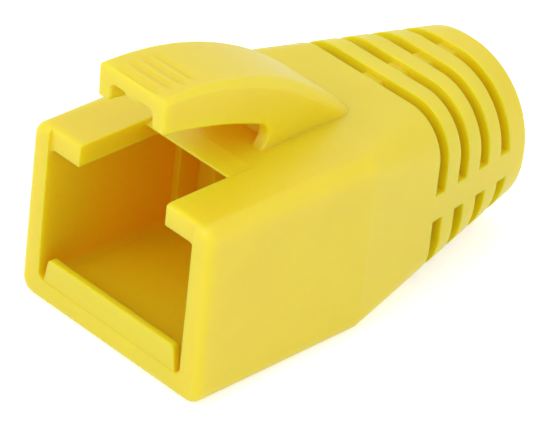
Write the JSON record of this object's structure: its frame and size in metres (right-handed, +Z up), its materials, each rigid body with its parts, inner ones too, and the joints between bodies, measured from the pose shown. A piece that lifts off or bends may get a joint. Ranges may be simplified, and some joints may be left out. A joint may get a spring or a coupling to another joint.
{
  "type": "strain relief boot",
  "caption": "Soft moulded boot for a modular network plug: square plug shell, arched latch guard and a round cable end with flexing ring slits.",
  "frame": {"origin": "middle of the outer box seen from above, at the flat underside", "axes": "+Y from the plug mouth to the cable end along the boot, +X across it, +Z up to the latch guard"},
  "size_m": [0.015, 0.0282, 0.0177],
  "materials": {
    "boot": "satin soft PVC, moulded"
  },
  "bodies": {
    "root": {"boot": "boot"}
  },
  "joints": []
}
